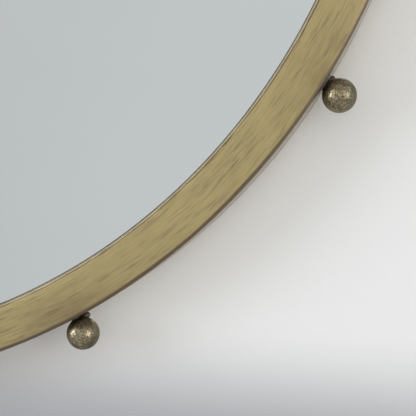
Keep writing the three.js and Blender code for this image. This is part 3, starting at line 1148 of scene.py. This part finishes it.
@dataclass
class MirrorPlate(SubAssembly):
    """The glass, the mastic pads that hold it and the board behind it."""

    steps: int = 240
    glass_gap: float = 0.14 * MM
    seam: float = 0.15 * MM
    board_edge: float = 0.6 * MM
    pad_edge: float = 0.7 * MM
    pad_count: int = 7
    pad_sides: int = 48
    pilot_radius: float = 2.05 * MM
    pilot_depth: float = 7.3 * MM

    def build(self) -> list[Piece]:
        """Models glass, board and pads."""
        low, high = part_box("mirror_glass")
        ends = Vector((0, low.y, 0)), Vector((0, high.y, 0))
        glass = rod("plate_glass", RING.inner - self.glass_gap, *ends, self.steps)
        bevel_edges(glass, self.seam, 1)
        board = self.disc("fibre_board", "backing_board", self.steps)
        combine(board, self.pilots(), "DIFFERENCE")
        bevel_edges(board, self.board_edge)
        pieces = [
            Piece(glass, SilveredGlass(), Slot.GLASS, "mirror_glass"),
            Piece(board, Fibreboard(), Slot.BOARD, "backing_board"),
        ]
        for node in numbered("bond_pad", self.pad_count, first=0):
            pad = self.disc(node.replace("bond", "mastic"), node, self.pad_sides)
            bevel_edges(pad, self.pad_edge, 3)
            pieces.append(Piece(pad, Mastic(), Slot.MASTIC, node))
        return pieces

    @staticmethod
    def disc(name: str, node: str, sides: int) -> Solid:
        """A disc of a CAD node's size and place."""
        low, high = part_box(node)
        middle = (low + high) / 2
        start, end = (Vector((middle.x, y, middle.z)) for y in (low.y, high.y))
        return rod(name, (high.x - low.x) / 2, start, end, sides)

    def pilots(self) -> Solid:
        """The drills that open a blind hole for each screw."""
        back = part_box("backing_board")[1].y
        drills = []
        for node in Screws.tab_nodes() + Screws.strap_nodes():
            place = middle_of(node)
            start, end = (Vector((place.x, y, place.z)) for y in (back - self.pilot_depth, back + MM))
            drills.append(rod("pilot", self.pilot_radius, start, end, 16))
        return join(drills, "pilots")


@dataclass
class BackTabs(SubAssembly):
    """Bent strips, welded inside the ring and screwed to the board."""

    count: int = 8
    thickness: float = 2 * MM
    width: float = 22 * MM
    foot: float = 26 * MM
    leg: float = 14 * MM
    bend: float = 3.5 * MM
    bend_steps: int = 8
    free_corner: float = 4 * MM
    corner_segments: int = 6
    edge: float = 0.3 * MM
    hole_radius: float = 2.05 * MM
    weld_drops: int = 5
    weld_radius: float = 1.7 * MM
    weld_overlap: float = 1.7
    weld_grain: float = 0.3 * MM

    def build(self) -> list[Piece]:
        """Models one tab with its weld and copies it round the ring."""
        nodes = numbered("backing_tab", self.count)
        tab = join([self.strip(), self.weld()], "welded_tab_1")
        tabs = copies(tab, numbered("welded_tab", self.count), spokes(self.count, self.first_angle()))
        return [
            Piece(tab, TabBrass(), Slot.TAB_BRASS, node, flat_faced=True) for tab, node in zip(tabs, nodes)
        ]

    def first_angle(self) -> float:
        """Where the first tab lies, half a step round the ring."""
        return math.pi / self.count

    @staticmethod
    def front() -> float:
        """How far from the wall the feet's front faces lie."""
        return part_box("backing_tab_1")[0].y

    def leg_x(self) -> float:
        """How far out the legs' outer faces lie."""
        unturn = spoke(-self.first_angle())
        return max((unturn @ v.co).x for v in frame["nodes"]["backing_tab_1"].data.vertices)

    def strip(self) -> Solid:
        """The bent strip in its spoke, foot behind the board and leg along the ring."""
        front = self.front()
        leg_x = self.leg_x()
        foot_end = leg_x - self.foot
        bend_x = leg_x - self.bend
        strip = begin(
            "strip", PLANE, (bend_x - foot_end, self.width, 1), size=1,
            location=((foot_end + bend_x) / 2, front, 0), rotation=(QUARTER_TURN, 0, 0),
        )
        with Editing(strip) as edit:
            edit.pick(Element.POINT, lambda p: p.x < foot_end + MM)
            edit.round_off(self.free_corner, self.corner_segments)
            edit.pick(Element.EDGE, lambda p: p.x > bend_x - self.edge)
            edit.spin(self.bend_steps, QUARTER_TURN, (bend_x, front + self.bend, 0), (0, 0, 1))
            edit.pick(Element.EDGE, lambda p: p.y > front + self.bend - self.edge)
            edit.extrude((0, self.leg - self.bend, 0))
            edit.close_up()
        face_outwards(strip, Vector((leg_x, front, 0)))
        thicken(strip, self.thickness)
        screw_x = math.hypot(middle_of("tab_screw_1").x, middle_of("tab_screw_1").z)
        drill_through(strip, self.hole_radius, Vector((screw_x, front - MM, 0)))
        bevel_edges(strip, self.edge)
        return strip

    def weld(self) -> Solid:
        """A row of weld drops along the leg's end, melted into one bead."""
        radius = self.weld_radius
        y = self.front() + self.leg + radius / 2
        gap = (self.width - 2 * radius) / (self.weld_drops - 1)
        drops = []
        for i in range(self.weld_drops):
            place = (self.leg_x() - radius, y, radius - self.width / 2 + i * gap)
            scale = (1, 1, gap / radius / self.weld_overlap)
            drop = begin("weld_drop", SPHERE, scale, subdivisions=3, radius=radius, location=place)
            drops.append(drop)
        bead = join(drops, "weld")
        with_modifier(bead, "REMESH", mode="VOXEL", voxel_size=self.weld_grain)
        with_modifier(bead, "SMOOTH", factor=0.5, iterations=3)
        return bead


@dataclass
class Screws(SubAssembly):
    """Pan-head screws with a cross recess and a rolled thread."""

    tab_length: float = 9.6 * MM
    strap_length: float = 8.8 * MM
    shank_radius: float = 1.75 * MM
    head_radius: float = 3.8 * MM
    head_height: float = 2.4 * MM
    crown_steps: int = 6
    crown_roundness: float = 0.6
    point: float = 2.5 * MM
    pitch: float = 1.3 * MM
    thread_depth: float = 0.35 * MM
    plain_neck: float = 0.4 * MM
    thread_rings: int = 42
    steps: int = 28
    edge: float = 0.08 * MM
    recess_width: float = 0.9 * MM
    recess_length: float = 4.4 * MM
    recess_depth: float = 1.6 * MM
    recess_taper: tuple[float, float, float] = (0.45, 1.0, 0.6)
    turn_between: float = math.radians(37)

    @staticmethod
    def tab_nodes() -> list[str]:
        """The CAD nodes of the screws through the tabs."""
        return numbered("tab_screw", 8)

    @staticmethod
    def strap_nodes() -> list[str]:
        """The CAD nodes of the screws through the straps."""
        return [node for side in ("left", "right") for node in numbered(f"hanger_screw_{side}", 2)]

    def build(self) -> list[Piece]:
        """Models a screw of each length and copies it to its places."""
        return self.row(self.tab_nodes(), self.tab_length) + self.row(self.strap_nodes(), self.strap_length)

    def row(self, nodes: list[str], length: float) -> list[Piece]:
        """The screws of one length, each turned a little further than the last.

        Args:
            nodes: Their CAD nodes.
            length: From the underside of the head to the point.

        Returns:
            The pieces.
        """
        moves = []
        for index, node in enumerate(nodes):
            place = middle_of(node)
            place.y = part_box(node)[1].y - self.head_height
            moves.append(Matrix.Translation(place) @ Matrix.Rotation(index * self.turn_between, 4, "Y"))
        names = [node.replace("_screw", "_pan_screw") for node in nodes]
        shapes = copies(self.model(names[0], length), names, moves)
        return [
            Piece(shape, ZincSteel(), Slot.STEEL, node, flat_faced=True)
            for shape, node in zip(shapes, nodes)
        ]

    def model(self, name: str, length: float) -> Solid:
        """One screw along Y, its point towards the room and the underside of its head at y = 0."""
        root = self.shank_radius - self.thread_depth
        thread = length - self.point
        rings = self.thread_rings
        climb = (thread - self.plain_neck) / rings
        outline = [(0.0, -length), (root * 0.5, -length + self.point / 2)]
        outline += [(self.shank_radius, i * climb - thread) for i in range(rings + 1)]
        outline.append((self.shank_radius, 0.0))
        outline += [(self.head_radius, 0.0), (self.head_radius, self.head_height / 2)]
        for i in range(1, self.crown_steps):
            angle = QUARTER_TURN * i / self.crown_steps
            rise = self.head_height * (0.5 + 0.5 * math.sin(angle))
            outline.append((self.head_radius * math.cos(angle) ** self.crown_roundness, rise))
        outline.append((0.0, self.head_height))
        screw = turned(name, outline, self.steps)
        self.roll_thread(screw, thread)
        for angle in (0.0, QUARTER_TURN):
            combine(screw, self.recess_blade(angle), "DIFFERENCE")
        bevel_edges(screw, self.edge, 1)
        return screw

    def roll_thread(self, screw: Solid, thread: float) -> None:
        """Presses a helical groove into the shank, never past its radius."""
        for vertex in screw.data.vertices:
            radius = math.hypot(vertex.co.x, vertex.co.z)
            if -thread <= vertex.co.y < -self.plain_neck * 1.2 and radius > self.shank_radius * 0.9:
                turn = math.atan2(vertex.co.z, vertex.co.x) / FULL_TURN + vertex.co.y / self.pitch
                ridge = abs(2 * (turn % 1.0) - 1) ** 2
                share = 1 - self.thread_depth / radius * (1 - ridge)
                vertex.co.x *= share
                vertex.co.z *= share

    def recess_blade(self, angle: float) -> Solid:
        """One blade of the cross recess, narrower at its floor."""
        top = self.head_height + 0.1 * MM
        floor = self.head_height - self.recess_depth
        size = (self.recess_length, top - floor, self.recess_width)
        blade = begin("blade", CUBE, size, size=1, location=(0, (top + floor) / 2, 0))
        with Editing(blade) as edit:
            edit.pick(Element.FACE, lambda p: p.y < floor + HAIR)
            bpy.ops.transform.resize(value=self.recess_taper)
        blade.data.transform(Matrix.Rotation(angle, 4, "Y"))
        return blade


@dataclass
class Hangers(SubAssembly):
    """Two straps, each rolled round the wire of a D-shaped loop."""

    strap_width: float = 14 * MM
    strap_length: float = 58 * MM
    strap_thickness: float = 1.2 * MM
    strap_edge: float = 0.22 * MM
    end_share: float = 0.995
    end_segments: int = 12
    eye_outer: float = 3 * MM
    eye_wrap: float = math.radians(300)
    eye_steps: int = 30
    screw_drops: Pair = (32 * MM, 48 * MM)
    hole_radius: float = 2.05 * MM
    wire_radius: float = 1.3 * MM
    wire_sides: int = 20
    half_width: float = 12.3 * MM
    drop: float = 18 * MM
    corner: float = 3 * MM
    corner_steps: int = 6
    bow_steps: int = 20
    butt: float = 0.15 * MM

    def build(self) -> list[Piece]:
        """Models one hanger about its eye and copies it to both sides."""
        eyes = {joint["child"]: Vector(joint["pos_m"]) for joint in frame["joints"]}
        sides = {"left": Body.LOOP_LEFT, "right": Body.LOOP_RIGHT}
        places = [Matrix.Translation(eyes[body.value]) for body in sides.values()]
        straps = copies(self.strap(), [f"rolled_strap_{side}" for side in sides], places)
        loops = copies(self.loop(), [f"wire_loop_{side}" for side in sides], places)
        pieces = []
        for (side, body), strap, loop in zip(sides.items(), straps, loops):
            pieces.append(Piece(strap, ZincSteel(), Slot.STEEL, f"hanger_strap_{side}", flat_faced=True))
            pieces.append(Piece(loop, ZincSteel(), Slot.STEEL, f"hanger_loop_{side}", body))
        return pieces

    def strap(self) -> Solid:
        """The strip about the eye's centre, rolled forward round the wire."""
        strap = begin(
            "rolled_strap_left", PLANE, (self.strap_width, self.strap_length, 1), size=1,
            location=(0, -self.eye_outer, -self.strap_length / 2), rotation=(QUARTER_TURN, 0, 0),
        )
        with Editing(strap) as edit:
            edit.pick(Element.POINT, lambda p: p.z < -self.strap_length + MM)
            edit.round_off(self.strap_width / 2 * self.end_share, self.end_segments)
            edit.pick(Element.EDGE, lambda p: p.z > -HAIR)
            edit.spin(self.eye_steps, -self.eye_wrap, (0, 0, 0), (1, 0, 0))
            edit.close_up()
        face_outwards(strap, Vector((0, -self.strap_length, -self.strap_length / 2)))
        thicken(strap, self.strap_thickness)
        for drop in self.screw_drops:
            drill_through(strap, self.hole_radius, Vector((0, -self.eye_outer - MM, -drop)))
        bevel_edges(strap, self.strap_edge)
        return strap

    def loop(self) -> Solid:
        """The wire about the eye's centre, hanging down, its butt joint hidden in the eye."""
        wire = begin(
            "wire_loop_left", CIRCLE, vertices=self.wire_sides, radius=self.wire_radius,
            location=(self.butt, 0, 0), rotation=(0, QUARTER_TURN, 0), fill_type="NGON",
        )
        turn_x = self.half_width - self.corner
        bow_z = self.half_width - self.drop
        with Editing(wire) as edit:
            edit.all()
            edit.extrude((turn_x - self.butt, 0, 0))
            edit.spin(self.corner_steps, QUARTER_TURN, (turn_x, 0, -self.corner), (0, 1, 0))
            edit.extrude((0, 0, bow_z + self.corner))
            edit.spin(self.bow_steps, QUARTER_TURN, (0, 0, bow_z), (0, 1, 0))
            edit.pick(Element.FACE, lambda p: p.x < self.butt / 2 and p.z < -self.corner)
            bpy.ops.mesh.delete(type="FACE")
        with_modifier(wire, "MIRROR", use_axis=(True, False, False), use_clip=True, merge_threshold=HAIR)
        with Editing(wire) as edit:
            edit.close_up()
        return wire


@dataclass
class WallBumpers(SubAssembly):
    """Soft discs between the ring's back and the wall."""

    count: int = 4
    sides: int = 40
    edge: float = 0.4 * MM

    def build(self) -> list[Piece]:
        """Models a disc at each CAD bumper, rounded towards the wall."""
        pieces = []
        for node in numbered("wall_bumper", self.count):
            disc = MirrorPlate.disc(node.replace("wall", "soft"), node, self.sides)
            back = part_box(node)[1].y
            with Editing(disc) as edit:
                edit.pick(Element.EDGE, lambda p: p.y > back - HAIR)
                edit.round_off(self.edge, 4, "EDGES")
            pieces.append(Piece(disc, SoftRubber(), Slot.RUBBER, node))
        return pieces


# ---------- studio ----------


@dataclass(frozen=True)
class SoftBox:
    """One plain area light, aimed at a point."""

    name: str
    place: tuple[float, float, float]
    aim: tuple[float, float, float]
    size: Pair
    watts: float
    colour: tuple[float, float, float] = (1.0, 1.0, 1.0)

    def hang(self) -> None:
        """Adds the light to the scene."""
        data = bpy.data.lights.new(self.name, "AREA")
        data.shape = "RECTANGLE"
        data.size, data.size_y = self.size
        data.energy = self.watts
        data.color = self.colour
        light = bpy.data.objects.new(self.name, data)
        light.location = self.place
        light.rotation_euler = (Vector(self.aim) - Vector(self.place)).to_track_quat("-Z", "Y").to_euler()
        bpy.context.scene.collection.objects.link(light)


@dataclass
class Studio:
    """Wall, floor, lights, surroundings and camera."""

    wall_size: Pair = (6.0, 4.0)
    floor_drop: float = 1.3
    floor_size: Pair = (8.0, 8.0)
    air_tone: Colour = tone(220, 220, 218)
    ceiling_share: float = 0.55
    ground_share: float = 0.95
    east_share: float = 1.08
    viewpoint: tuple[float, float, float] = (381.7 * MM, -607.4 * MM, -273.2 * MM)
    yaw: float = math.radians(-8.62)
    pitch: float = math.radians(-3.5)
    hung_turn: float = math.radians(2.07)
    lens: float = 77.88
    boxes: list[SoftBox] = field(
        default_factory=lambda: [
            SoftBox(
                "left window", (-1.67, -1.12, 0.0), (0.2, 0, -0.2), (1.0, 1.3), 22.4, (0.82, 0.89, 1.0)
            ),
            SoftBox(
                "right window", (2.05, -1.25, -0.1), (0.25, 0, -0.25), (0.8, 1.0), 9.5, (1.0, 0.97, 0.93)
            ),
            SoftBox("rear fill", (0.3, 2.2, 1.0), (0, 0, 0), (1.8, 1.8), 26.0),
        ]
    )

    def set_up(self) -> None:
        """Builds the studio."""
        self.stand()
        for box in self.boxes:
            box.hang()
        self.air()
        self.camera()
        bpy.context.scene.view_settings.view_transform = "Standard"

    def stand(self) -> None:
        """A wall that is seen only from the room, and a floor."""
        place = (0, 0, self.wall_size[1] / 2 - self.floor_drop)
        scale = (*self.wall_size, 1)
        wall = begin("plain_wall", PLANE, scale, size=1, location=place, rotation=(QUARTER_TURN, 0, 0))
        low_place = (0, 0, -self.floor_drop)
        floor = begin("plain_floor", PLANE, (*self.floor_size, 1), size=1, location=low_place)
        for surface, finish in ((wall, WallPlaster()), (floor, Plaster())):
            surface.data.materials.append(finish.material())

    def air(self) -> None:
        """Soft light from all round, dimmer from above and below and a little brighter in the east."""
        world = bpy.data.worlds.new("even air")
        bpy.context.scene.world = world
        world.use_nodes = True
        wires = Wiring(world.node_tree)
        x, _, z = wires.axes(wires.node("ShaderNodeTexCoord").outputs["Generated"])
        above = wires.ramp(z, 0.25, 0.85, 1.0, self.ceiling_share)
        below = wires.ramp(z, -0.85, -0.3, self.ground_share, 1.0)
        east = wires.ramp(x, -0.55, -0.05, 1.0, self.east_share)
        background = world.node_tree.nodes["Background"]
        background.inputs["Color"].default_value = self.air_tone
        wires.feed(background.inputs["Strength"], wires.times(above, below, east))

    def camera(self) -> None:
        """The photograph's viewpoint, below and to the right of the ring's middle."""
        level = math.cos(self.pitch)
        forward = Vector((math.sin(self.yaw) * level, math.cos(self.yaw) * level, math.sin(self.pitch)))
        right = forward.cross(Vector((0, 0, 1))).normalized()
        look = Matrix((right, right.cross(forward), -forward)).transposed().to_4x4()
        data = bpy.data.cameras.new("viewpoint")
        data.lens = self.lens
        camera = bpy.data.objects.new("viewpoint", data)
        camera.matrix_world = spoke(self.hung_turn) @ Matrix.Translation(self.viewpoint) @ look
        bpy.context.scene.collection.objects.link(camera)
        bpy.context.scene.camera = camera


# ---------- the whole ----------


def main() -> None:
    """Builds each sub-assembly in order, then the studio."""
    logging.basicConfig(level=logging.INFO, format="%(message)s")
    for assembly in (RingFrame(), BallStuds(), MirrorPlate(), BackTabs(), Screws(), Hangers(), WallBumpers()):
        assembly.dress()
    Studio().set_up()


if __name__ == "__main__":
    main()
